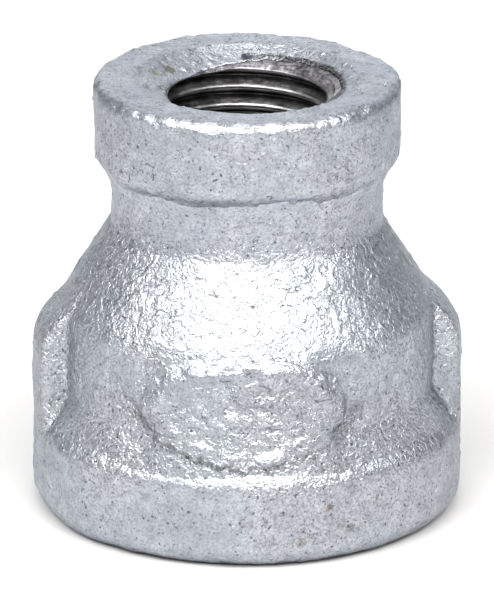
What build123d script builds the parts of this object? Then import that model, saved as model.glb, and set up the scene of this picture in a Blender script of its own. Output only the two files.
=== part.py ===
from build123d import *
from build123d.topology import SkipClean
import os
from math import atan, cos, degrees, radians, sin, tan

# Galvanised malleable iron reducing coupling, 1/2 x 1/4 NPT.
# Frame: the origin is the centre of the large end face, +Z runs along the bore
# to the small end, and the blank oval pad faces -Y. All sizes are in mm.

# Outside, over the zinc
LENGTH = 31.75
LARGE_BAND_R = 15.35
LARGE_BAND_TOP = 6.3
BODY_R = 13.5
BODY_FOOT = 8.5
CONE_FOOT = 15.1
NECK_R = 9.5
CONE_TOP = 21.5
NECK_TOP_R = 9.8
NECK_TOP = 24.8
SMALL_BAND_R = 10.95
SMALL_BAND_FOOT = 26.2

# Rounds of the cast outline, from the large end face to the small one
BASE_ROUND = 1.8
SHOULDER_ROUND = 1.6
BODY_FOOT_ROUND = 1.8
CONE_FOOT_ROUND = 3.0
NECK_ROUND = 2.0
NECK_TOP_ROUND = 0.4
BAND_FOOT_ROUND = 1.4
RIM_ROUND = 0.85

# Two wrench ribs, nearly at +X and -X
RIB_HALF_ANGLE = 12.5
RIB_TURN = 5.0
RIB_FACE_TOP = 11.9
RIB_TOP_ROUND = 4.0
RIB_EDGE_ROUND = 1.0
RIB_ROOT_R = 12.0
RIB_ROOT_FOOT = 3.0

# Blank oval pad on the front of the body
PAD_WIDTH = 14.6
PAD_HEIGHT = 7.4
PAD_Z = 11.4
PAD_PROUD = 0.45
PAD_ROOT_R = 12.0

# Thickness of the hot-dip zinc
COAT = 0.08

# The cored hole as cast, over the zinc
SMALL_CORE_R = 5.3
LARGE_CORE_R = 8.8
LARGE_CHAMBER_R = 10.75
SMALL_CHAMBER_R = 6.95
LARGE_CHAMBER_FOOT = 13.5
LARGE_CHAMBER_TOP = 15.0
SMALL_CHAMBER_FOOT = 20.9
SMALL_CHAMBER_TOP = 21.7
CHAMBER_ROUND = 0.5
LIP_ROUND = 1.0
SMALL_LIP_SLOPE = 2.0
LARGE_LIP_SLOPE = 0.8
SMALL_LIP_R = 8.2
LARGE_LIP_R = 10.55

# Pipe threads, 60 degree form on a 1:16 taper, cut in straight drilled holes
THREAD_ANGLE = 60.0
TAPER_PER_MM = 1 / 32
SMALL_PITCH = 25.4 / 18
SMALL_DRILL_R = 5.68
SMALL_ROOT_R = 6.74
SMALL_ROOT_FLAT = 0.12
SMALL_THREAD_TURN = 194.0
LARGE_PITCH = 25.4 / 14
LARGE_DRILL_R = 9.23
LARGE_ROOT_R = 10.58
LARGE_ROOT_FLAT = 0.15
LARGE_THREAD_TURN = 0.0
TOOL_OVERLAP = 0.05
SECTOR_ANGLE = 45.0
SECTOR_TURN = 7.0
TAP_OVERRUN = 0.2
DRILL_OVERRUN = 1.5
DRILL_STAND_OFF = 3.0

# Machined lead-in cones, a little off the bore's axis
CHAMFER_SLOPE = 1.28
SMALL_CHAMFER_R = 7.35
SMALL_CHAMFER_SHIFT = (0.27, 0.19)
LARGE_CHAMFER_R = 11.2
LARGE_CHAMFER_SHIFT = (-0.15, 0.2)

# How far a cutting tool stands out of the end face that it enters
TOOL_STAND_OFF = 2.0


def inset(corners, skin):
    """The same outline with skin mm taken off: its outer rounds shrink and its inner ones grow."""
    points = [Vector(r, z) for r, z, _ in corners]
    befores = points[-1:] + points[:-1]
    afters = points[1:] + points[:1]
    moved = []
    for before, point, after, corner in zip(befores, points, afters, corners):
        arriving = (point - before).normalized()
        leaving = (after - point).normalized()
        inward = Vector(-arriving.Y, arriving.X) + Vector(-leaving.Y, leaving.X)
        place = point + inward * (2 * skin / inward.dot(inward))
        turns_outward = arriving.cross(leaving).Z > 0
        rounding = corner[2] - skin if turns_outward else corner[2] + skin
        moved.append((place.X, place.Y, rounding))
    return moved


def cast_section(skin):
    """Half section of the galvanised fitting before machining, with the outer skin mm taken off."""
    small_lip_depth = (SMALL_LIP_R - SMALL_CORE_R) / SMALL_LIP_SLOPE
    large_lip_depth = (LARGE_LIP_R - LARGE_CORE_R) / LARGE_LIP_SLOPE
    corners = [
        (LARGE_BAND_R, 0, BASE_ROUND),
        (LARGE_BAND_R, LARGE_BAND_TOP, SHOULDER_ROUND),
        (BODY_R, BODY_FOOT, BODY_FOOT_ROUND),
        (BODY_R, CONE_FOOT, CONE_FOOT_ROUND),
        (NECK_R, CONE_TOP, NECK_ROUND),
        (NECK_TOP_R, NECK_TOP, NECK_TOP_ROUND),
        (SMALL_BAND_R, SMALL_BAND_FOOT, BAND_FOOT_ROUND),
        (SMALL_BAND_R, LENGTH, RIM_ROUND),
        (SMALL_LIP_R, LENGTH, LIP_ROUND),
        (SMALL_CORE_R, LENGTH - small_lip_depth, LIP_ROUND),
        (SMALL_CORE_R, SMALL_CHAMBER_TOP, CHAMBER_ROUND),
        (SMALL_CHAMBER_R, SMALL_CHAMBER_TOP, CHAMBER_ROUND / 2),
        (SMALL_CHAMBER_R, SMALL_CHAMBER_FOOT, CHAMBER_ROUND),
        (LARGE_CHAMBER_R, LARGE_CHAMBER_TOP, CHAMBER_ROUND),
        (LARGE_CHAMBER_R, LARGE_CHAMBER_FOOT, CHAMBER_ROUND),
        (LARGE_CORE_R, LARGE_CHAMBER_FOOT, CHAMBER_ROUND),
        (LARGE_CORE_R, large_lip_depth, LIP_ROUND),
        (LARGE_LIP_R, 0, LIP_ROUND),
    ]
    outline = inset(corners, skin)
    with BuildSketch(Plane.XZ) as section:
        with BuildLine():
            FilletPolyline(
                *[(r, z) for r, z, _ in outline],
                radius=[rounding for _, _, rounding in outline],
                close=True,
            )
        make_face()
    return section.sketch


def rib_profile():
    """Outline of one rib in its own radial plane, with a round, sloping top."""
    slope = 45
    arc_top_r = LARGE_BAND_R - RIB_TOP_ROUND * (1 - cos(radians(slope)))
    arc_top_z = RIB_FACE_TOP + RIB_TOP_ROUND * sin(radians(slope))
    slope_top_z = arc_top_z + (arc_top_r - RIB_ROOT_R) * tan(radians(slope))
    with BuildSketch(Plane.XZ) as profile:
        with BuildLine():
            Polyline(
                (arc_top_r, arc_top_z),
                (RIB_ROOT_R, slope_top_z),
                (RIB_ROOT_R, RIB_ROOT_FOOT),
                (LARGE_BAND_R, RIB_ROOT_FOOT),
                (LARGE_BAND_R, RIB_FACE_TOP),
            )
            RadiusArc(
                (LARGE_BAND_R, RIB_FACE_TOP), (arc_top_r, arc_top_z), -RIB_TOP_ROUND
            )
        make_face()
    return profile.sketch


def wrench_rib(skin):
    """One rib centred on +X with its outer edges rounded, the outer skin mm taken off."""
    half_angle = RIB_HALF_ANGLE - degrees(skin / BODY_R)
    with BuildPart() as rib:
        with BuildSketch(Plane.XZ.rotated((0, 0, -half_angle))):
            add(rib_profile())
            offset(amount=-skin, kind=Kind.INTERSECTION)
        revolve(axis=Axis.Z, revolution_arc=2 * half_angle)
        sides = rib.faces().filter_by(GeomType.PLANE).filter_by(Plane.XY, reverse=True)
        outer_edges = sides.edges().filter_by(
            lambda edge: edge.center().Z > RIB_ROOT_FOOT + RIB_EDGE_ROUND
            and Vector(edge.center().X, edge.center().Y).length > BODY_R - RIB_EDGE_ROUND
        )
        fillet(outer_edges, RIB_EDGE_ROUND)
    return rib.part


def cast_form(skin):
    """The fitting as cast and galvanised, or with the outer skin mm taken off."""
    rib = wrench_rib(skin)
    with BuildPart() as form:
        with BuildSketch(Plane.XZ):
            add(cast_section(skin))
        revolve(axis=Axis.Z)
        add(rib.rotate(Axis.Z, RIB_TURN))
        add(rib.rotate(Axis.Z, RIB_TURN + 180))
        add(front_pad(skin))
    return form.part


def front_pad(skin):
    """Blank oval pad, cut from a tube that is rooted in the body and stands a little proud."""
    with BuildPart() as pad:
        with BuildSketch(Plane.XZ):
            with Locations((0, PAD_Z)):
                Ellipse(PAD_WIDTH / 2 - skin, PAD_HEIGHT / 2 - skin)
        extrude(amount=BODY_R + PAD_PROUD)
        with BuildSketch():
            Circle(BODY_R + PAD_PROUD - skin)
            Circle(PAD_ROOT_R, mode=Mode.SUBTRACT)
        extrude(amount=LENGTH, mode=Mode.INTERSECT)
    return pad.part


def thread_groove(pitch, root_radius, root_flat, drill_radius, mouth_z, inward, depth, turn):
    """What a taper tap cuts: a right-hand V groove that closes in on the axis inward."""
    groove_depth = root_radius - drill_radius + TOOL_OVERLAP
    mouth_half = root_flat / 2 + groove_depth * tan(radians(THREAD_ANGLE / 2))
    start_z = mouth_z - inward * TOOL_STAND_OFF
    start_radius = root_radius + TOOL_STAND_OFF * TAPER_PER_MM
    with BuildPart() as groove:
        with BuildLine():
            turns = Helix(
                pitch=pitch,
                height=TOOL_STAND_OFF + depth,
                radius=start_radius,
                center=(0, 0, start_z),
                direction=(0, 0, inward),
                cone_angle=-degrees(atan(TAPER_PER_MM)),
            )
        start = turns @ 0
        outward = Vector(start.X, start.Y, 0)
        with BuildSketch(Plane(origin=start, x_dir=outward, z_dir=outward.cross(Vector(0, 0, 1)))):
            with BuildLine():
                Polyline(
                    (0, root_flat / 2),
                    (0, -root_flat / 2),
                    (-groove_depth, -mouth_half),
                    (-groove_depth, mouth_half),
                    close=True,
                )
            make_face()
        sweep(path=turns, is_frenet=True)
    return groove.part.rotate(Axis.Z, turn)


def tap(groove, drill_radius, start_z, end_z):
    """A straight drill and the tap that follows it, as one cutting volume."""
    with BuildPart() as cutter:
        with BuildSketch(Plane.XY.offset(start_z)):
            Circle(drill_radius)
        extrude(amount=end_z - start_z)
        add(groove)
    return cutter.part


def in_sectors(cutter):
    """A cutting volume in equal sectors, so that the round wall it cuts comes in short arcs."""
    reach = cutter.bounding_box()
    with BuildPart() as sector:
        with BuildSketch(Plane.XY.offset(reach.min.Z)):
            with BuildLine():
                rim = CenterArc((0, 0), LARGE_BAND_R, SECTOR_TURN, SECTOR_ANGLE)
                Polyline(rim @ 1, (0, 0), rim @ 0)
            make_face()
        extrude(amount=reach.size.Z)
    sectors = ShapeList()
    for i in range(round(360 / SECTOR_ANGLE)):
        sectors += cutter.intersect(sector.part.rotate(Axis.Z, i * SECTOR_ANGLE)).solids()
    return sectors


def lead_in(radius, shift, face_z, inward):
    """Cone that the chamfering tool cuts at a mouth."""
    depth = radius / CHAMFER_SLOPE
    with BuildPart() as cone:
        with BuildSketch(Plane.XZ):
            with BuildLine():
                Polyline(
                    (0, face_z + inward * depth),
                    (0, face_z - inward * TOOL_STAND_OFF),
                    (radius + TOOL_STAND_OFF * CHAMFER_SLOPE, face_z - inward * TOOL_STAND_OFF),
                    close=True,
                )
            make_face()
        revolve(axis=Axis.Z)
    return cone.part.translate((*shift, 0))


small_groove = thread_groove(
    SMALL_PITCH,
    SMALL_ROOT_R,
    SMALL_ROOT_FLAT,
    SMALL_DRILL_R,
    LENGTH,
    -1,
    LENGTH - SMALL_CHAMBER_TOP + TAP_OVERRUN,
    SMALL_THREAD_TURN,
)
large_groove = thread_groove(
    LARGE_PITCH,
    LARGE_ROOT_R,
    LARGE_ROOT_FLAT,
    LARGE_DRILL_R,
    0,
    1,
    LARGE_CHAMBER_FOOT + TAP_OVERRUN,
    LARGE_THREAD_TURN,
)
taps = [
    tap(small_groove, SMALL_DRILL_R, SMALL_CHAMBER_TOP - DRILL_OVERRUN, LENGTH + DRILL_STAND_OFF),
    tap(large_groove, LARGE_DRILL_R, -DRILL_STAND_OFF, LARGE_CHAMBER_FOOT + DRILL_OVERRUN),
]
lead_ins = [
    lead_in(SMALL_CHAMFER_R, SMALL_CHAMFER_SHIFT, LENGTH, -1),
    lead_in(LARGE_CHAMFER_R, LARGE_CHAMFER_SHIFT, 0, 1),
]
black_casting = cast_form(COAT)

# The malleable iron, with bare threads and lead-ins
with SkipClean(), BuildPart() as iron_casting:
    add(black_casting, clean=False)
    for cutter in taps:
        add(in_sectors(cutter), clean=False, mode=Mode.SUBTRACT)
    add(lead_ins, clean=False, mode=Mode.SUBTRACT)

# All the zinc that the machining leaves: one skin outside, one in the waist
with BuildPart() as zinc:
    add(cast_form(0))
    add(black_casting, mode=Mode.SUBTRACT)
    for cutter in taps + lead_ins:
        add(cutter, mode=Mode.SUBTRACT)
coats = zinc.solids().sort_by(SortBy.VOLUME)

with BuildPart() as outer_zinc_coat:
    add(coats[-1])

with BuildPart() as waist_zinc_coat:
    add(coats[-2])

parts = {
    "iron_casting": iron_casting,
    "outer_zinc_coat": outer_zinc_coat,
    "waist_zinc_coat": waist_zinc_coat,
}
os.makedirs("parts", exist_ok=True)
for name, piece in parts.items():
    piece.part.label = name
    export_step(piece.part, f"parts/{name}.step")
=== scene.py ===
import math

import bmesh
import bpy
import numpy as np
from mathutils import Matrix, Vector, noise


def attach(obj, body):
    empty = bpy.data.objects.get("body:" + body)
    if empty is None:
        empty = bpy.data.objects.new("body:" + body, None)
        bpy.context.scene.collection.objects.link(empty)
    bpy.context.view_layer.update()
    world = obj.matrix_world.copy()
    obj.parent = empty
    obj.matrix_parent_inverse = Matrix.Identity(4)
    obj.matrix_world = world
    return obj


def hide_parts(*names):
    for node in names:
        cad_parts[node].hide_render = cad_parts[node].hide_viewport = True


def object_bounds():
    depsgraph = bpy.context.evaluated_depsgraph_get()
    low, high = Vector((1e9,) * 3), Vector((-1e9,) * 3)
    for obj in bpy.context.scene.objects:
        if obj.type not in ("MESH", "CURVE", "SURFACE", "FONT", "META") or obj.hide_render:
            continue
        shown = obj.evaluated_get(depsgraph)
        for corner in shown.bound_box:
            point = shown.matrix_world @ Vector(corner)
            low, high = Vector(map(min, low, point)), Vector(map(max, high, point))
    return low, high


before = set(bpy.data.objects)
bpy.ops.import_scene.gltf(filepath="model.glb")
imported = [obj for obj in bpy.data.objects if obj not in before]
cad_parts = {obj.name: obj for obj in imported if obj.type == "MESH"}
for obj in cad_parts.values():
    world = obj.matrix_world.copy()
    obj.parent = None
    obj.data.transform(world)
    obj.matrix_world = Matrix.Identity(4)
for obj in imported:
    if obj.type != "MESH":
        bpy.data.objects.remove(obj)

# A galvanised malleable iron reducing coupling. All sizes below are in mm and
# follow the CAD model's own, except that the pad stands 0.1 mm prouder and the
# chamber's iron is 0.02 mm wider. MM turns them into the scene's metres.
MM = 0.001
cad_lo, cad_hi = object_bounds()
LENGTH = (cad_hi.z - cad_lo.z) / MM

# Outline of the zinc, from inside the small mouth, over the outside, to
# inside the large mouth: (radius, height, rounding) at each corner
SMALL_LIP = 8.2
LARGE_LIP = 10.55
LARGE_BAND = 15.35
BODY = 13.5
SMALL_BAND = 10.95
SMALL_LIP_SLOPE = 2.0
LARGE_LIP_SLOPE = 0.8
LIP_ROUND = 1.0
COAT = 0.08
OUTLINE = [
    (SMALL_LIP - 1.5 * SMALL_LIP_SLOPE, LENGTH - 1.5, 0),
    (SMALL_LIP, LENGTH, LIP_ROUND),
    (SMALL_BAND, LENGTH, 0.85),
    (SMALL_BAND, 26.2, 1.4),
    (9.8, 24.8, 0.4),
    (9.5, 21.5, 2.0),
    (BODY, 15.1, 3.0),
    (BODY, 8.5, 1.8),
    (LARGE_BAND, 6.3, 1.6),
    (LARGE_BAND, 0, 1.8),
    (LARGE_LIP, 0, LIP_ROUND),
    (LARGE_LIP - 2.2 * LARGE_LIP_SLOPE, 2.2, 0),
]
OUTLINE_STEP = 0.02

# Two wrench ribs
RIB_ANGLES = (5.0, 185.0)
RIB_HALF_ANGLE = 12.5
RIB_FACE_TOP = 11.9
RIB_FOOT = 5.0
RIB_TOP_ROUND = 4.0
RIB_EDGE_ROUND = 1.0
RIB_ROOT_ROUND = 0.6
RIB_DRAFT = 0.12
RIB_BLEND = 0.35
RIB_HIGHEST = 18

# Blank oval pad at the front
PAD_HALF_WIDTH = 7.3
PAD_HALF_HEIGHT = 3.7
PAD_HEIGHT = 11.4
PAD_PROUD = 0.55
PAD_UPPER_EDGE = 1.1
PAD_LOWER_EDGE = 0.35

# Threads: pitch, drilled crest radius, root radius at the mouth, root flat,
# and the height of the groove's centre at angle 0 about the axis
TAPER = 1 / 32
FLANK_ANGLE = 30.0
SMALL_PITCH = 25.4 / 18
LARGE_PITCH = 25.4 / 14
SMALL_THREAD = dict(
    pitch=SMALL_PITCH, crest=5.68, root=6.74, flat=0.12,
    start=LENGTH + 2 - SMALL_PITCH * 14 / 360,
)
LARGE_THREAD = dict(pitch=LARGE_PITCH, crest=9.23, root=10.58, flat=0.15, start=-2.0)
CHAMFER_SLOPE = 1.28
SMALL_CHAMFER = dict(radius=7.35, shift=(0.27, 0.19))
LARGE_CHAMFER = dict(radius=11.2, shift=(-0.15, 0.2))

# The iron of the chamber between the threads
SMALL_LEDGE = 21.8
LARGE_LEDGE = 13.4
SMALL_CHAMBER = 7.05
LARGE_CHAMBER = 10.85
# (radius, height, points to the next corner)
CHAMBER = [
    (SMALL_CHAMBER, SMALL_LEDGE, 4),
    (SMALL_CHAMBER, 20.95, 16),
    (LARGE_CHAMBER, 15.05, 6),
    (LARGE_CHAMBER, LARGE_LEDGE, 0),
]
LEDGE_POINTS = 5

# How fine the meshes are: columns round the axis, and rows along the outline
SKIN_COLUMNS = 416
SKIN_SMALL_MOUTH_ROWS = 34
SKIN_OUTSIDE_ROWS = 172
SKIN_LARGE_MOUTH_ROWS = 18
SKIN_UNDERSIDE_ROWS = 16
IRON_COLUMNS = 384
IRON_ROWS_PER_PITCH = 14
IRON_UNDER_ZINC_ROWS = 30

# Unevenness of the zinc: depth, reach and count of its pores and grains
PORES_AND_GRAINS = (
    (-0.15, 0.2, 650),
    (-0.08, 0.45, 90),
    (0.08, 0.3, 150),
    (0.11, 0.17, 140),
)
RELIEF_LOWEST = -0.12
RELIEF_HIGHEST = 0.28


def unit(v):
    return v / np.linalg.norm(v)


def rounded_outline(corners):
    """Closely spaced points along an outline whose inner corners are rounded."""
    points = [np.array(corners[0][:2], float)]
    for before, corner, after in zip(corners, corners[1:], corners[2:]):
        here = np.array(corner[:2], float)
        back = unit(np.array(before[:2]) - here)
        on = unit(np.array(after[:2]) - here)
        half = math.acos(float(back @ on)) / 2
        sweep = math.pi - 2 * half
        centre = here + unit(back + on) * corner[2] / math.sin(half)
        first = here + back * corner[2] / math.tan(half) - centre
        last = here + on * corner[2] / math.tan(half) - centre
        for share in np.linspace(0, 1, max(3, int(corner[2] * sweep / OUTLINE_STEP))):
            arm = math.sin((1 - share) * sweep) * first + math.sin(share * sweep) * last
            points.append(centre + arm / math.sin(sweep))
    points.append(np.array(corners[-1][:2], float))
    points = np.array(points)
    run = np.concatenate([[0], np.cumsum(np.linalg.norm(np.diff(points, axis=0), axis=1))])
    even = np.arange(0, run[-1], OUTLINE_STEP)
    return np.interp(even, run, points[:, 0]), np.interp(even, run, points[:, 1]), even


PATH_R, PATH_Z, PATH_S = rounded_outline(OUTLINE)
TANGENT = np.stack([np.gradient(PATH_R), np.gradient(PATH_Z)])
TANGENT /= np.linalg.norm(TANGENT, axis=0)
PATH_NR, PATH_NZ = -TANGENT[1], TANGENT[0]


def chamfer_radius(tool, angle, depth):
    """Distance from the bore's axis to an off-centre lead-in cone."""
    x, y = tool["shift"]
    along = x * np.cos(angle) + y * np.sin(angle)
    across = y * np.cos(angle) - x * np.sin(angle)
    radius = np.maximum(tool["radius"] - CHAMFER_SLOPE * depth, 0.6)
    return along + np.sqrt(np.maximum(radius**2 - across**2, 0.01))


def thread_radius(thread, angle, height, mouth_depth):
    """Radius of a taper-tapped wall: V grooves in a straight hole."""
    centre = thread["start"] + thread["pitch"] * angle / (2 * math.pi)
    away = (height - centre + thread["pitch"] / 2) % thread["pitch"] - thread["pitch"] / 2
    flank = np.maximum(np.abs(away) - thread["flat"] / 2, 0) / math.tan(math.radians(FLANK_ANGLE))
    return np.maximum(thread["root"] - TAPER * mouth_depth - flank, thread["crest"])


def cut_places(thread, tool, angles, from_end, mouth_z, inward, skin):
    """How far along the outline the machining reaches, at each angle."""
    r = PATH_R - skin * PATH_NR
    z = PATH_Z - skin * PATH_NZ
    near = PATH_S < 5.5 if from_end == 0 else PATH_S > PATH_S[-1] - 5
    r, z, s = r[near], z[near], PATH_S[near]
    places = []
    for angle in angles:
        limit = np.maximum(chamfer_radius(tool, angle, (z - mouth_z) * inward), thread["crest"])
        met = np.nonzero(r > limit if from_end == 0 else r <= limit)[0]
        places.append(s[met[0]])
    return np.array(places)


def rib_rise(r, z):
    """How far a rib stands out of the wall: a flat face, a round and a 45 degree slope."""
    slope_r = LARGE_BAND - RIB_TOP_ROUND * (1 - math.cos(math.radians(45)))
    slope_z = RIB_FACE_TOP + RIB_TOP_ROUND * math.sin(math.radians(45))
    bend = np.sqrt(np.maximum(RIB_TOP_ROUND**2 - (z - RIB_FACE_TOP) ** 2, 0))
    arc = LARGE_BAND - RIB_TOP_ROUND + bend
    slope = np.where(z < slope_z, arc, slope_r - (z - slope_z))
    face = np.where(z < RIB_FACE_TOP, LARGE_BAND, slope)
    rise = face - r
    fade = 0.5 * RIB_BLEND * np.exp(-np.maximum(rise, 0) / RIB_BLEND)
    soft = 0.5 * (rise + np.sqrt(rise**2 + RIB_BLEND**2)) - fade
    return np.where((z > RIB_FOOT) & (z < RIB_HIGHEST), np.maximum(soft, 0), 0)


def columns(count):
    """Angles around the axis, each with how much of a rib it carries, from 0 to 1."""
    full = LARGE_BAND - BODY
    edge, root = RIB_EDGE_ROUND, RIB_ROOT_ROUND
    side = [
        (-edge + edge * math.sin(a), full - edge + edge * math.cos(a))
        for a in np.linspace(0, math.pi / 2 * 0.95, 6)
    ]
    side += [
        (RIB_DRAFT + root - root * math.cos(a), root - root * math.sin(a))
        for a in np.linspace(math.pi / 2 * 0.08, math.pi / 2, 6)
    ]
    middle = (LARGE_BAND + BODY) / 2
    steps = [(math.degrees(x / middle), h / full) for x, h in side]
    out = []
    inset = math.degrees(RIB_EDGE_ROUND / middle)
    face = np.linspace(-(RIB_HALF_ANGLE - inset), RIB_HALF_ANGLE - inset, 22)[1:-1]
    for centre in RIB_ANGLES:
        out += [(centre + a, 1.0) for a in face]
        out += [(centre + RIB_HALF_ANGLE + a, w) for a, w in steps]
        out += [(centre - RIB_HALF_ANGLE - a, w) for a, w in steps]
    reach = RIB_HALF_ANGLE + steps[-1][0]
    rest = count - len(out)
    gap = 180 - 2 * reach
    each = rest // 2
    for start in (RIB_ANGLES[0] + reach, RIB_ANGLES[1] + reach):
        out += [(start + gap * (i + 1) / (each + 1), 0.0) for i in range(each)]
    out = sorted((a % 360, w) for a, w in out)
    return np.radians([a for a, _ in out]), np.array([w for _, w in out])


def pad_rise(angle, z):
    """The blank oval pad's relief: a worn raised rim, and an edge that is crisper below."""
    front = (angle + 1.5 * math.pi) % (2 * math.pi) - math.pi
    across = BODY * (front + 0 * z)
    up = z - PAD_HEIGHT + 0 * front
    turn = np.arctan2(up, across)
    waver = 1 + 0.05 * np.sin(3 * turn + 1) + 0.03 * np.sin(7 * turn)
    far = np.hypot(across / PAD_HALF_WIDTH, up / PAD_HALF_HEIGHT) * waver
    edge = np.where(up > 0, PAD_UPPER_EDGE, PAD_LOWER_EDGE)
    share = np.clip((1 - far) * PAD_HALF_HEIGHT / edge + 0.5, 0, 1)
    rim = 0.13 * np.exp(-(((far - 0.84) / 0.09) ** 2))
    moat = 0.12 * np.exp(-(((far - 1.12) / 0.06) ** 2)) * np.clip(0.4 - up / 2, 0, 1)
    return PAD_PROUD * share * share * (3 - 2 * share) + rim - moat


def skin_grid(s, angles, weights, lift):
    """Points of the outside at outline places s (one row each), lifted off the nominal zinc."""
    r = np.interp(s, PATH_S, PATH_R)
    z = np.interp(s, PATH_S, PATH_Z)
    nr = np.interp(s, PATH_S, PATH_NR)
    nz = np.interp(s, PATH_S, PATH_NZ)
    outside = (r > 9) & (z > 0.5)
    rise = np.where(outside, rib_rise(r, z) * weights + pad_rise(angles, z), 0)
    r = r + rise + nr * lift
    z = z + nz * lift
    return np.stack([r * np.cos(angles), r * np.sin(angles), z], axis=-1)


def grid_faces(rows, cols, first):
    """Quads of a grid that closes on itself around the axis."""
    return [
        (first + i * cols + j, first + i * cols + (j + 1) % cols,
         first + (i + 1) * cols + (j + 1) % cols, first + (i + 1) * cols + j)
        for i in range(rows - 1) for j in range(cols)
    ]


def noise_at(points, scale, seed):
    shift = Vector((seed * 17.3, seed * 5.1, seed * 11.7))
    return np.array([noise.noise(Vector(p) / scale + shift) for p in points])


def grid_normals(grid):
    """Unit normals of a grid closed around the axis, rows along the outline."""
    down = np.gradient(grid, axis=0)
    around = np.roll(grid, -1, axis=1) - np.roll(grid, 1, axis=1)
    normal = np.cross(around, down)
    return normal / np.maximum(np.linalg.norm(normal, axis=-1, keepdims=True), 1e-9)


def near_pad(points):
    """1 on the pad's face, falling to 0 just past its edge."""
    far = np.hypot(points[:, 0] / PAD_HALF_WIDTH, (points[:, 2] - PAD_HEIGHT) / PAD_HALF_HEIGHT)
    return np.clip((1.15 - far) / 0.3, 0, 1) * (points[:, 1] < 0)


def zinc_relief(points, seed):
    """Height of the cast and galvanised surface's unevenness, in mm."""
    flat = points.reshape(-1, 3)
    relief = 0.13 * noise_at(flat, 5.5, seed)
    relief += 0.07 * noise_at(flat, 2.3, seed + 1)
    relief += 0.035 * noise_at(flat, 0.95, seed + 2)
    patch = np.clip(0.6 + 1.6 * noise_at(flat, 6.5, seed + 3), 0, 1)
    ridge = 0.6 - 2.2 * np.abs(noise_at(flat, 0.8, seed + 4))
    relief += 0.05 * patch * ridge
    relief += 0.018 * noise_at(flat, 0.42, seed + 5)
    worn = 0.40 - 2.2 * np.abs(noise_at(flat * (0.75, 1, 1.3), 1.15, seed + 6))
    relief += 0.27 * near_pad(flat) * worn
    near_top = np.exp(-(((flat[:, 2] - LENGTH + 0.35) / 0.5) ** 2))
    rim = near_top * (np.hypot(flat[:, 0], flat[:, 1]) > SMALL_BAND - 1.2)
    relief += 0.15 * rim * noise_at(flat, 0.95, seed + 7)
    chance = np.random.default_rng(seed)
    for depth, reach, count in PORES_AND_GRAINS:
        for spot in flat[chance.integers(0, len(flat), count)]:
            close = np.abs(flat[:, 2] - spot[2]) < 3 * reach
            away = np.linalg.norm(flat[close] - spot, axis=1)
            relief[close] += depth * np.exp(-((away / reach) ** 2)) * chance.uniform(0.4, 1)
    return np.clip(relief, RELIEF_LOWEST, RELIEF_HIGHEST).reshape(points.shape[:-1])


def make_object(name, points, faces):
    mesh = bpy.data.meshes.new(name)
    mesh.from_pydata([tuple(p) for p in np.asarray(points) * MM], [], faces)
    mesh.validate()
    mesh.update()
    mesh.polygons.foreach_set("use_smooth", [True] * len(mesh.polygons))
    ob = bpy.data.objects.new(name, mesh)
    bpy.context.scene.collection.objects.link(ob)
    return ob


def zinc_skin():
    """The hot-dip zinc outside, as a closed thin shell with a torn edge at each mouth."""
    angles, weights = columns(SKIN_COLUMNS)
    cols = len(angles)
    chance = np.random.default_rng(5)
    small_cut = cut_places(SMALL_THREAD, SMALL_CHAMFER, angles, 0, LENGTH, -1, 0)
    large_cut = cut_places(LARGE_THREAD, LARGE_CHAMFER, angles, 1, 0, 1, 0)
    ring = np.stack([np.cos(angles), np.sin(angles), 0 * angles], axis=-1)
    bare = np.clip((chamfer_radius(SMALL_CHAMFER, angles, 0) - 7.25) / 0.35, 0, 1)
    tear = 0.14 * noise_at(ring * 6, 0.55, 3) + 0.16 * noise_at(ring * 6, 0.2, 4)
    tear = tear + 0.10 * chance.random(cols)
    small_cut = small_cut + np.maximum(tear * (0.3 + bare), 0)
    large_cut = large_cut - np.abs(0.1 * noise_at(ring * 10, 0.5, 6))
    small_lip_end, large_lip_end = 5.2, PATH_S[-1] - 4.4
    small_share = np.linspace(0, 1, SKIN_SMALL_MOUTH_ROWS)[:, None]
    large_share = np.linspace(0, 1, SKIN_LARGE_MOUTH_ROWS)[1:, None]
    between = np.linspace(small_lip_end, large_lip_end, SKIN_OUTSIDE_ROWS)[1:, None]
    s = np.concatenate([
        small_cut + (small_lip_end - small_cut) * small_share,
        between * np.ones(cols),
        large_lip_end + (large_cut - large_lip_end) * large_share,
    ])
    outer = skin_grid(s, angles, weights, 0)
    relief = zinc_relief(outer, 11)
    edge = np.minimum(s - s[0], s[-1] - s)
    calm = np.clip(edge / 0.5, 0, 1)
    burr = np.clip(0.5 + noise_at(outer.reshape(-1, 3), 0.5, 9).reshape(s.shape), 0, 1)
    relief = relief * calm + 0.05 * np.exp(-((edge / 0.18) ** 2)) * burr
    flat_base = np.clip(outer[..., 2] / 0.25, 0, 1)
    relief = relief * (0.15 + 0.85 * flat_base)
    outer = outer + grid_normals(outer) * relief[..., None]
    outer[..., 2] = np.maximum(outer[..., 2], 0)
    pick = np.linspace(len(s) - 1, 0, SKIN_UNDERSIDE_ROWS).round().astype(int)
    under = skin_grid(s[pick], angles, weights, -COAT * 1.15)
    points = np.concatenate([outer.reshape(-1, 3), under.reshape(-1, 3)])
    rows = len(s) + SKIN_UNDERSIDE_ROWS
    faces = grid_faces(rows, cols, 0)
    last = (rows - 1) * cols
    faces += [(last + j, last + (j + 1) % cols, (j + 1) % cols, j) for j in range(cols)]
    return make_object("zinc_skin", points, faces)


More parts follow.
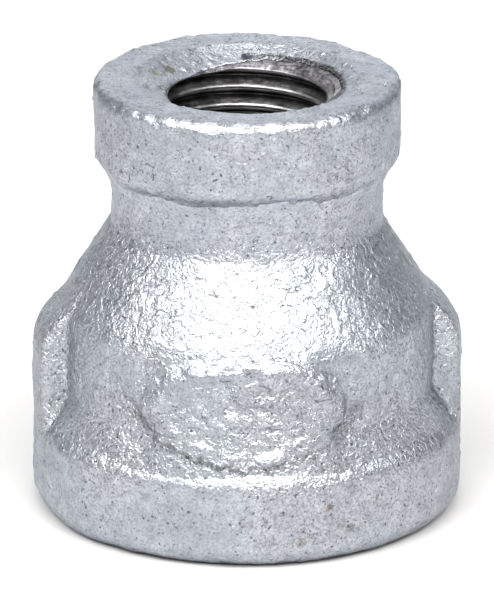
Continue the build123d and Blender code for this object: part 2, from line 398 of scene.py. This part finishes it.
def thread_rows(thread, tool, angles, top, bottom, mouth_z, inward):
    """Radius and height of rows that follow the helix down one tapped hole."""
    pitch = thread["pitch"]
    lift = pitch * angles / (2 * math.pi)
    high = max(top) + pitch * 1.2
    start = high + (thread["start"] - high) % pitch
    count = int((start - min(bottom) + 2 * pitch) / pitch * IRON_ROWS_PER_PITCH)
    turns = np.arange(count)[:, None] / IRON_ROWS_PER_PITCH
    z = start + lift[None, :] - pitch * turns
    z = np.clip(z, bottom[None, :], top[None, :])
    depth = (z - mouth_z) * inward
    # the groove fades out just under the mouth's edge, so that it stays even
    mouth_edge = top if inward < 0 else bottom
    fade = np.clip(np.abs(z - mouth_edge[None, :]) / 0.1, 0, 1)
    wall = thread_radius(thread, angles[None, :], z, depth)
    wall = thread["crest"] + (wall - thread["crest"]) * fade
    lead = chamfer_radius(tool, angles[None, :], depth)
    return np.maximum(wall, lead), z


def helical_faces(rows, cols, first):
    """Quads of rows that climb one pitch in a turn, so each row's end meets a higher one."""
    def at(i, j):
        if j == cols:
            i, j = min(max(i - IRON_ROWS_PER_PITCH, 0), rows - 1), 0
        return first + i * cols + j
    return [
        (at(i, j), at(i, j + 1), at(i + 1, j + 1), at(i + 1, j))
        for i in range(rows - 1) for j in range(cols)
    ]


def ring_points(r, z, angles):
    r, z = np.broadcast_arrays(r, z)
    return np.stack([r * np.cos(angles), r * np.sin(angles), z], axis=-1)


def iron_body():
    """The casting: both tapped bores with their lead-ins, and the iron under the zinc."""
    cols = IRON_COLUMNS
    angles = np.linspace(0, 2 * math.pi, cols, endpoint=False)
    weights = np.zeros(cols)
    for centre in RIB_ANGLES:
        off = np.abs((np.degrees(angles) - centre + 180) % 360 - 180)
        weights = np.maximum(weights, np.clip((RIB_HALF_ANGLE - off) / 3 + 0.2, 0, 1))
    small_cut = cut_places(SMALL_THREAD, SMALL_CHAMFER, angles, 0, LENGTH, -1, COAT)
    large_cut = cut_places(LARGE_THREAD, LARGE_CHAMFER, angles, 1, 0, 1, COAT)
    top_z = np.interp(small_cut, PATH_S, PATH_Z - COAT * PATH_NZ)
    low_z = np.interp(large_cut, PATH_S, PATH_Z - COAT * PATH_NZ)
    ones = np.ones(cols)
    points, faces = [], []

    def put(block, make):
        first = sum(len(p) for p in points)
        points.append(block.reshape(-1, 3))
        faces.extend(make(block.shape[0], cols, first))

    small_r, small_z = thread_rows(
        SMALL_THREAD, SMALL_CHAMFER, angles, top_z, SMALL_LEDGE * ones, LENGTH, -1)
    large_r, large_z = thread_rows(
        LARGE_THREAD, LARGE_CHAMFER, angles, LARGE_LEDGE * ones, low_z, 0, 1)
    put(ring_points(small_r, small_z, angles), helical_faces)
    # the ledges and the chamber
    small_end, large_end = small_r[-1], large_r[0]
    ledge = np.linspace(0, 1, LEDGE_POINTS)
    rows = [small_end + (SMALL_CHAMBER - small_end) * t for t in ledge]
    heights = [SMALL_LEDGE * ones] * LEDGE_POINTS
    for (r0, z0, count), (r1, z1, _) in zip(CHAMBER, CHAMBER[1:]):
        for t in np.linspace(0, 1, count)[1:]:
            rows.append((r0 + (r1 - r0) * t) * ones)
            heights.append((z0 + (z1 - z0) * t) * ones)
    for t in ledge[1:]:
        rows.append(LARGE_CHAMBER + (large_end - LARGE_CHAMBER) * t)
        heights.append(LARGE_LEDGE * ones)
    put(ring_points(np.array(rows), np.array(heights), angles), grid_faces)
    put(ring_points(large_r, large_z, angles), helical_faces)
    # the iron under the zinc, from the large mouth back to the small one
    share = np.linspace(0, 1, IRON_UNDER_ZINC_ROWS)[:, None]
    s = large_cut + (small_cut - large_cut) * share
    near = np.minimum(np.abs(s - s[0]), np.abs(s - s[-1]))
    sink = COAT + 0.16 * np.clip(near / 2 - 0.4, 0, 1)
    put(skin_grid(s, angles, weights, -sink), grid_faces)
    ob = make_object("iron_body", np.concatenate(points), faces)
    bm = bmesh.new()
    bm.from_mesh(ob.data)
    bmesh.ops.remove_doubles(bm, verts=bm.verts, dist=2e-6)
    bmesh.ops.recalc_face_normals(bm, faces=bm.faces)
    bm.to_mesh(ob.data)
    bm.free()
    ob.data.polygons.foreach_set("use_smooth", [True] * len(ob.data.polygons))
    return ob


def nodes_of(name):
    material = bpy.data.materials.new(name)
    material.use_nodes = True
    tree = material.node_tree
    shader = tree.nodes["Principled BSDF"]
    return material, tree, shader


def add(tree, kind, **settings):
    node = tree.nodes.new(kind)
    for key, value in settings.items():
        if key in node.inputs:
            node.inputs[key].default_value = value
        else:
            setattr(node, key, value)
    return node


def noise_node(tree, coords, scale, detail=4.0, rough=0.55):
    node = add(tree, "ShaderNodeTexNoise", Scale=scale, Detail=detail, Roughness=rough)
    tree.links.new(coords, node.inputs["Vector"])
    return node.outputs["Fac"]


def ramp(tree, value, stops):
    node = tree.nodes.new("ShaderNodeValToRGB")
    elements = node.color_ramp.elements
    elements[0].position, elements[0].color = stops[0][0], (*stops[0][1], 1)
    elements[1].position, elements[1].color = stops[-1][0], (*stops[-1][1], 1)
    for place, color in stops[1:-1]:
        elements.new(place).color = (*color, 1)
    tree.links.new(value, node.inputs["Fac"])
    return node.outputs["Color"]


def feed(tree, sockets, values):
    """Links or sets each socket, by whether its value comes from a node."""
    for socket, value in zip(sockets, values):
        if isinstance(value, bpy.types.NodeSocket):
            tree.links.new(value, socket)
        else:
            socket.default_value = value


def mix(tree, kind, factor, a, b):
    node = add(tree, "ShaderNodeMix", data_type="RGBA", blend_type=kind)
    # sockets 6 and 7 are the mixed colours, and output 2 is the result
    feed(tree, (node.inputs["Factor"], node.inputs[6], node.inputs[7]), (factor, a, b))
    return node.outputs[2]


def grey(v):
    return (v, v, v)


def math_node(tree, operation, a, b):
    node = add(tree, "ShaderNodeMath", operation=operation)
    feed(tree, node.inputs, (a, b))
    return node.outputs[0]


def ranged(tree, value, before, after):
    """A length between two limits in mm, turned smoothly into a value between two others."""
    node = add(tree, "ShaderNodeMapRange", interpolation_type="SMOOTHSTEP")
    node.inputs["From Min"].default_value = before[0] * MM
    node.inputs["From Max"].default_value = before[1] * MM
    node.inputs["To Min"].default_value = after[0]
    node.inputs["To Max"].default_value = after[1]
    tree.links.new(value, node.inputs["Value"])
    return node.outputs["Result"]


def coordinate(tree, coords, axis):
    split = tree.nodes.new("ShaderNodeSeparateXYZ")
    tree.links.new(coords, split.inputs[0])
    return split.outputs[axis]


def creased(tree, coords, rounded):
    """Rounded lumps with thin creases between them."""
    veins = noise_node(tree, coords, 1050, 3, 0.6)
    away = math_node(tree, "ABSOLUTE", math_node(tree, "SUBTRACT", veins, 0.5), 0)
    ridge = math_node(tree, "MINIMUM", math_node(tree, "MULTIPLY", away, 5.0), 0.45)
    return math_node(tree, "ADD", rounded, ridge)


def sloping_part(tree, coords):
    """1 over the body and cone, where the zinc ran and wrinkled, and less on the two bands."""
    height = coordinate(tree, coords, "Z")
    above_large_band = ranged(tree, height, (4.5, 7.5), (0.5, 1))
    below_small_band = ranged(tree, height, (23.5, 20.5), (0.5, 1))
    return math_node(tree, "MINIMUM", above_large_band, below_small_band)


def stains_and_painted_shade(tree, coords, base, rough_edge, spots):
    """Small round tints of one colour each, at named places on the surface: real marks, and
    patches of painted shade.
    """
    for place, radius, tint in spots:
        gap = add(tree, "ShaderNodeVectorMath", operation="DISTANCE")
        tree.links.new(coords, gap.inputs[0])
        gap.inputs[1].default_value = [v * MM for v in place]
        ragged = math_node(tree, "MULTIPLY", rough_edge, 0.9 * radius * MM)
        wavy_gap = math_node(tree, "ADD", gap.outputs["Value"], ragged)
        near = ranged(tree, wavy_gap, (radius * 1.25, radius * 0.75), (0, 1))
        base = mix(tree, "MULTIPLY", near, base, (*tint, 1))
    return base


def radius_from_axis(tree, coords):
    flat = add(tree, "ShaderNodeVectorMath", operation="MULTIPLY")
    flat.inputs[1].default_value = (1, 1, 0)
    tree.links.new(coords, flat.inputs[0])
    radius = add(tree, "ShaderNodeVectorMath", operation="LENGTH")
    tree.links.new(flat.outputs[0], radius.inputs[0])
    return radius.outputs["Value"]


def torn_edge(tree, coords, ragged):
    """1 on the ragged zinc edge round the bare lead-in of the small mouth."""
    unevenness = math_node(tree, "MULTIPLY", ragged, 0.5 * MM)
    wavy_radius = math_node(tree, "ADD", radius_from_axis(tree, coords), unevenness)
    ring = ranged(tree, wavy_radius, (7.5, 7.25), (0, 1))
    bare_side = math.radians(25)
    side = add(tree, "ShaderNodeVectorMath", operation="DOT_PRODUCT")
    side.inputs[1].default_value = (math.cos(bare_side), math.sin(bare_side), 0)
    tree.links.new(coords, side.inputs[0])
    facing = ranged(tree, side.outputs["Value"], (2.0, 4.6), (0, 1))
    high = ranged(tree, coordinate(tree, coords, "Z"), (29.0, 30.0), (0, 1))
    return math_node(tree, "MULTIPLY", math_node(tree, "MULTIPLY", ring, facing), high)


def pad_crease_shade(tree, coords, ragged):
    """1 in the broken crease that runs under the oval pad, where shade is painted on the zinc."""
    shape = add(tree, "ShaderNodeVectorMath", operation="SUBTRACT")
    shape.inputs[1].default_value = (0, 0, PAD_HEIGHT * MM)
    tree.links.new(coords, shape.inputs[0])
    scaled = add(tree, "ShaderNodeVectorMath", operation="MULTIPLY")
    scaled.inputs[1].default_value = (1 / (PAD_HALF_WIDTH * MM), 0, 1 / (PAD_HALF_HEIGHT * MM))
    tree.links.new(shape.outputs[0], scaled.inputs[0])
    far = add(tree, "ShaderNodeVectorMath", operation="LENGTH")
    tree.links.new(scaled.outputs[0], far.inputs[0])
    sway = math_node(tree, "MULTIPLY", math_node(tree, "SUBTRACT", ragged, 0.5), 0.5)
    wander = math_node(tree, "ADD", far.outputs["Value"], sway)
    off = math_node(tree, "ABSOLUTE", math_node(tree, "SUBTRACT", wander, 1.09), 0)
    ring = ranged(tree, off, (75, 15), (0, 1))
    height = coordinate(tree, coords, "Z")
    low = ranged(tree, height, (PAD_HEIGHT + 0.6, PAD_HEIGHT - 1.2), (0, 1))
    front = ranged(tree, coordinate(tree, coords, "Y"), (-8.0, -10.0), (0, 1))
    return math_node(tree, "MULTIPLY", math_node(tree, "MULTIPLY", ring, low), front)


# Marks on the zinc, and soft patches of painted shade, in mm: place, size and tint
ZINC_MARKS_AND_SHADE = [
    ((3.8, -12.9, 13.0), 0.22, (0.75, 0.45, 0.18)),
    ((0.0, 6.9, 31.05), 0.8, (0.30, 0.29, 0.29)),
    ((-5.6, 3.9, 31.05), 0.8, (0.56, 0.54, 0.40)),
    ((-6.6, 2.6, 31.2), 0.6, (0.66, 0.64, 0.46)),
    ((-6.1, 0.3, 30.8), 0.35, (0.45, 0.42, 0.30)),
    ((-1.5, -10.6, 20.2), 0.22, (0.40, 0.33, 0.25)),
    ((7.2, -11.0, 14.6), 0.2, (0.15, 0.13, 0.12)),
    ((-0.6, -10.3, 21.4), 0.3, (0.62, 0.56, 0.40)),
    ((1.6, -10.2, 21.9), 0.25, (0.60, 0.52, 0.36)),
    ((5.8, -14.2, 4.4), 0.5, (0.62, 0.57, 0.48)),
    ((3.8, -14.9, 2.0), 0.7, (0.72, 0.69, 0.62)),
    ((7.4, -13.5, 2.6), 0.5, (0.66, 0.62, 0.55)),
    ((9.2, -12.2, 4.4), 0.35, (0.55, 0.52, 0.46)),
    ((-10.6, -10.7, 6.0), 0.35, (0.60, 0.58, 0.55)),
    # Broad soft tints on the left of the cone and round the neck: painted shade where these parts
    # catch darker reflections and lie under the small band, over some real mottling
    ((-9.6, -7.4, 17.3), 1.5, (0.84, 0.87, 0.91)),
    ((-10.1, -8.6, 15.4), 1.1, (0.84, 0.86, 0.89)),
    ((-8.0, -5.6, 21.1), 0.9, (0.84, 0.86, 0.89)),
    ((4.4, -8.6, 22.6), 1.0, (0.86, 0.88, 0.92)),
    ((-3.4, -9.0, 23.2), 1.1, (0.87, 0.89, 0.92)),
    ((0.4, -9.8, 22.4), 1.0, (0.85, 0.87, 0.91)),
    ((6.2, -7.4, 23.4), 1.0, (0.87, 0.88, 0.91)),
]

# Painted shade on the left inside of the small port's thread, in the same form
IRON_PAINTED_SHADE = [
    ((-5.6, 1.6, 28.4), 3.0, (0.30, 0.29, 0.30)),
    ((-4.4, 4.4, 27.2), 2.0, (0.5, 0.49, 0.5)),
]


# From the zinc's darker clouds to its lighter ones
ZINC_COLOURS = [
    (0.3, (0.43, 0.455, 0.505)),
    (0.5, (0.50, 0.525, 0.57)),
    (0.7, (0.55, 0.565, 0.61)),
]


def zinc_material():
    material, tree, shader = nodes_of("galvanised_zinc")
    coords = tree.nodes.new("ShaderNodeTexCoord").outputs["Object"]
    cloudy = noise_node(tree, coords, 150, 3)
    hue = noise_node(tree, coords, 95, 2)
    mottle = noise_node(tree, coords, 760, 5, 0.65)
    wrinkle = noise_node(tree, coords, 1500, 3, 0.55)
    grain = noise_node(tree, coords, 4800, 4, 0.7)
    speck = noise_node(tree, coords, 5200, 3, 0.6)
    pits = noise_node(tree, coords, 1300, 4, 0.65)
    pinholes = noise_node(tree, coords, 3300, 2, 0.5)
    hairs = noise_node(tree, coords, 820, 5, 0.6)
    fine_hairs = noise_node(tree, coords, 1900, 3, 0.6)
    base = ramp(tree, cloudy, ZINC_COLOURS)
    for pattern, strength, stops in (
        (hue, 0.8, [(0.38, (0.98, 1.0, 1.01)), (0.62, (1.015, 1.0, 1.01))]),
        (mottle, 0.5, [(0.3, grey(0.62)), (0.7, grey(1.2))]),
        (speck, 0.55, [(0.3, grey(0.45)), (0.6, grey(1.15))]),
        (pits, 0.85, [(0.27, (0.16, 0.14, 0.12)), (0.315, grey(1.0))]),
        (pinholes, 0.9, [(0.3, (0.28, 0.25, 0.23)), (0.36, grey(1.0))]),
    ):
        base = mix(tree, "MULTIPLY", strength, base, ramp(tree, pattern, stops))
    for veins, width, where in ((hairs, 0.013, cloudy), (fine_hairs, 0.02, hue)):
        away = math_node(tree, "ABSOLUTE", math_node(tree, "SUBTRACT", veins, 0.5), 0)
        line = ramp(tree, away, [(0.0, grey(0.3)), (width, grey(1.0))])
        strength = ramp(tree, where, [(0.44, grey(0.15)), (0.58, grey(0.85))])
        base = mix(tree, "MULTIPLY", strength, base, line)
    # Marks on the zinc, some of them patches of painted shade
    base = stains_and_painted_shade(tree, coords, base, speck, ZINC_MARKS_AND_SHADE)
    # Painted shade: the zinc darkened along the crease under the pad's lower edge
    shade_under_pad = ramp(tree, hue, [(0.4, (0.38, 0.39, 0.38)), (0.6, (0.7, 0.7, 0.68))])
    base = mix(tree, "MULTIPLY", pad_crease_shade(tree, coords, pits), base, shade_under_pad)
    edge = torn_edge(tree, coords, mottle)
    flecks = ramp(tree, speck, [(0.4, (0.05, 0.045, 0.04)), (0.6, (0.55, 0.53, 0.52))])
    base = mix(tree, "MULTIPLY", edge, base, flecks)
    tree.links.new(base, shader.inputs["Base Color"])
    rough = ramp(tree, mottle, [(0.25, grey(0.42)), (0.75, grey(0.22))])
    tree.links.new(rough, shader.inputs["Roughness"])
    shader.inputs["Metallic"].default_value = 0.93
    shader.inputs["Specular Tint"].default_value = (0.68, 0.70, 0.74, 1)
    fine = add(tree, "ShaderNodeBump", Strength=0.9, Distance=0.00005)
    tree.links.new(grain, fine.inputs["Height"])
    middle = add(tree, "ShaderNodeBump", Strength=1.0, Distance=0.00012)
    patchy = ramp(tree, cloudy, [(0.35, grey(0.6)), (0.65, grey(1.0))])
    lively = math_node(tree, "MULTIPLY", sloping_part(tree, coords), patchy)
    creases = math_node(tree, "MULTIPLY", creased(tree, coords, wrinkle), lively)
    tree.links.new(creases, middle.inputs["Height"])
    tree.links.new(fine.outputs["Normal"], middle.inputs["Normal"])
    tree.links.new(middle.outputs["Normal"], shader.inputs["Normal"])
    return material


def iron_material():
    material, tree, shader = nodes_of("bare_machined_iron")
    coords = tree.nodes.new("ShaderNodeTexCoord").outputs["Object"]
    height = coordinate(tree, coords, "Z")
    crests = LARGE_THREAD["crest"] * MM, SMALL_THREAD["crest"] * MM
    crest = ranged(tree, height, (13.0, 14.0), crests)
    below = math_node(tree, "SUBTRACT", radius_from_axis(tree, coords), crest)
    depth = ranged(tree, below, (0.1, 1.0), (0, 1))
    small_lead_in = ranged(tree, height, (30.2, 30.5), (0, 1))
    large_lead_in = ranged(tree, height, (1.7, 1.4), (0, 1))
    lead_in = math_node(tree, "MAXIMUM", small_lead_in, large_lead_in)
    streaky = add(tree, "ShaderNodeMapping")
    streaky.inputs["Scale"].default_value = (1, 1, 9)
    tree.links.new(coords, streaky.inputs["Vector"])
    streak = noise_node(tree, streaky.outputs["Vector"], 1100, 5, 0.65)
    stain = noise_node(tree, coords, 650, 4)
    marks = noise_node(tree, coords, 3400, 3, 0.6)
    base = ramp(tree, streak, [(0.3, (0.26, 0.255, 0.26)), (0.7, (0.74, 0.73, 0.75))])
    oily = ramp(tree, stain, [(0.36, grey(0.2)), (0.64, grey(1.0))])
    base = mix(tree, "MULTIPLY", 0.7, base, oily)
    # Painted shade: the thread darker the deeper a point lies in its grooves, towards the roots
    groove = ramp(tree, depth, [
        (0.0, grey(0.74)), (0.35, grey(0.62)), (0.75, grey(0.3)), (1.0, grey(0.16)),
    ])
    rough_cut = ramp(tree, marks, [(0.35, (0.3, 0.29, 0.3)), (0.65, (1.0, 0.98, 1.0))])
    base = mix(tree, "MULTIPLY", 1.0, base, mix(tree, "MIX", lead_in, groove, rough_cut))
    # Painted shade darkening the left inside of the small port
    base = stains_and_painted_shade(tree, coords, base, marks, IRON_PAINTED_SHADE)
    tree.links.new(base, shader.inputs["Base Color"])
    rough = ramp(tree, marks, [(0.3, grey(0.28)), (0.7, grey(0.5))])
    tree.links.new(rough, shader.inputs["Roughness"])
    shader.inputs["Metallic"].default_value = 1.0
    bump = add(tree, "ShaderNodeBump", Strength=0.5, Distance=0.00004)
    tree.links.new(streak, bump.inputs["Height"])
    tree.links.new(bump.outputs["Normal"], shader.inputs["Normal"])
    return material


def paint(ob, material):
    ob.data.materials.clear()
    ob.data.materials.append(material)


def camera():
    """A long lens from a little above, facing the pad."""
    distance, elevation, aim = 0.640, math.radians(19.6), Vector((0, 0, 0.0149))
    lens = bpy.data.cameras.new("camera")
    lens.lens = 535
    lens.sensor_width = 36
    lens.clip_start = 0.01
    ob = bpy.data.objects.new("camera", lens)
    ob.location = aim + distance * Vector((0, -math.cos(elevation), math.sin(elevation)))
    ob.rotation_euler = (math.pi / 2 - elevation, 0, 0)
    bpy.context.scene.collection.objects.link(ob)
    bpy.context.scene.camera = ob


def softbox(name, azimuth, elevation, distance, width, height, power, tint=(1, 1, 1)):
    """An area light that faces the coupling, out of the camera's sight."""
    light = bpy.data.lights.new(name, "AREA")
    light.shape = "RECTANGLE"
    light.size, light.size_y, light.energy = width, height, power
    light.color = tint
    ob = bpy.data.objects.new(name, light)
    a, e = math.radians(azimuth), math.radians(elevation)
    away = Vector((math.sin(a) * math.cos(e), -math.cos(a) * math.cos(e), math.sin(e)))
    ob.location = Vector((0, 0, 0.016)) + away * distance
    ob.rotation_euler = away.to_track_quat("Z", "Y").to_euler()
    ob.visible_camera = False
    bpy.context.scene.collection.objects.link(ob)


def studio():
    scene = bpy.context.scene
    scene.view_settings.view_transform = "Standard"
    world = bpy.data.worlds.new("studio")
    world.use_nodes = True
    world.node_tree.nodes["Background"].inputs["Color"].default_value = (0.96, 0.975, 1.0, 1)
    world.node_tree.nodes["Background"].inputs["Strength"].default_value = 0.30
    scene.world = world
    bpy.ops.mesh.primitive_plane_add(size=3)
    floor = bpy.context.object
    floor.name = "floor"
    material, tree, shader = nodes_of("pale_floor")
    shader.inputs["Base Color"].default_value = (0.6, 0.6, 0.6, 1)
    shader.inputs["Roughness"].default_value = 0.9
    paint(floor, material)
    softbox("key", 0, 51, 0.6, 0.68, 0.38, 6.3, (1.0, 0.975, 0.94))
    softbox("left_fill", -62, 46, 0.6, 0.5, 0.26, 1.9)
    softbox("right_fill", 62, 46, 0.6, 0.5, 0.26, 1.4)
    softbox("overhead", 180, 74, 0.6, 0.3, 0.2, 0.68)
    softbox("backdrop", 180, 18, 1.2, 1.3, 0.8, 4.2)


camera()
studio()
zinc = zinc_material()
iron = iron_material()

skin = zinc_skin()
paint(skin, zinc)
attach(skin, "root")
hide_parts("outer_zinc_coat")

body = iron_body()
paint(body, iron)
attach(body, "root")
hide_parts("iron_casting")

paint(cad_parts["waist_zinc_coat"], zinc)
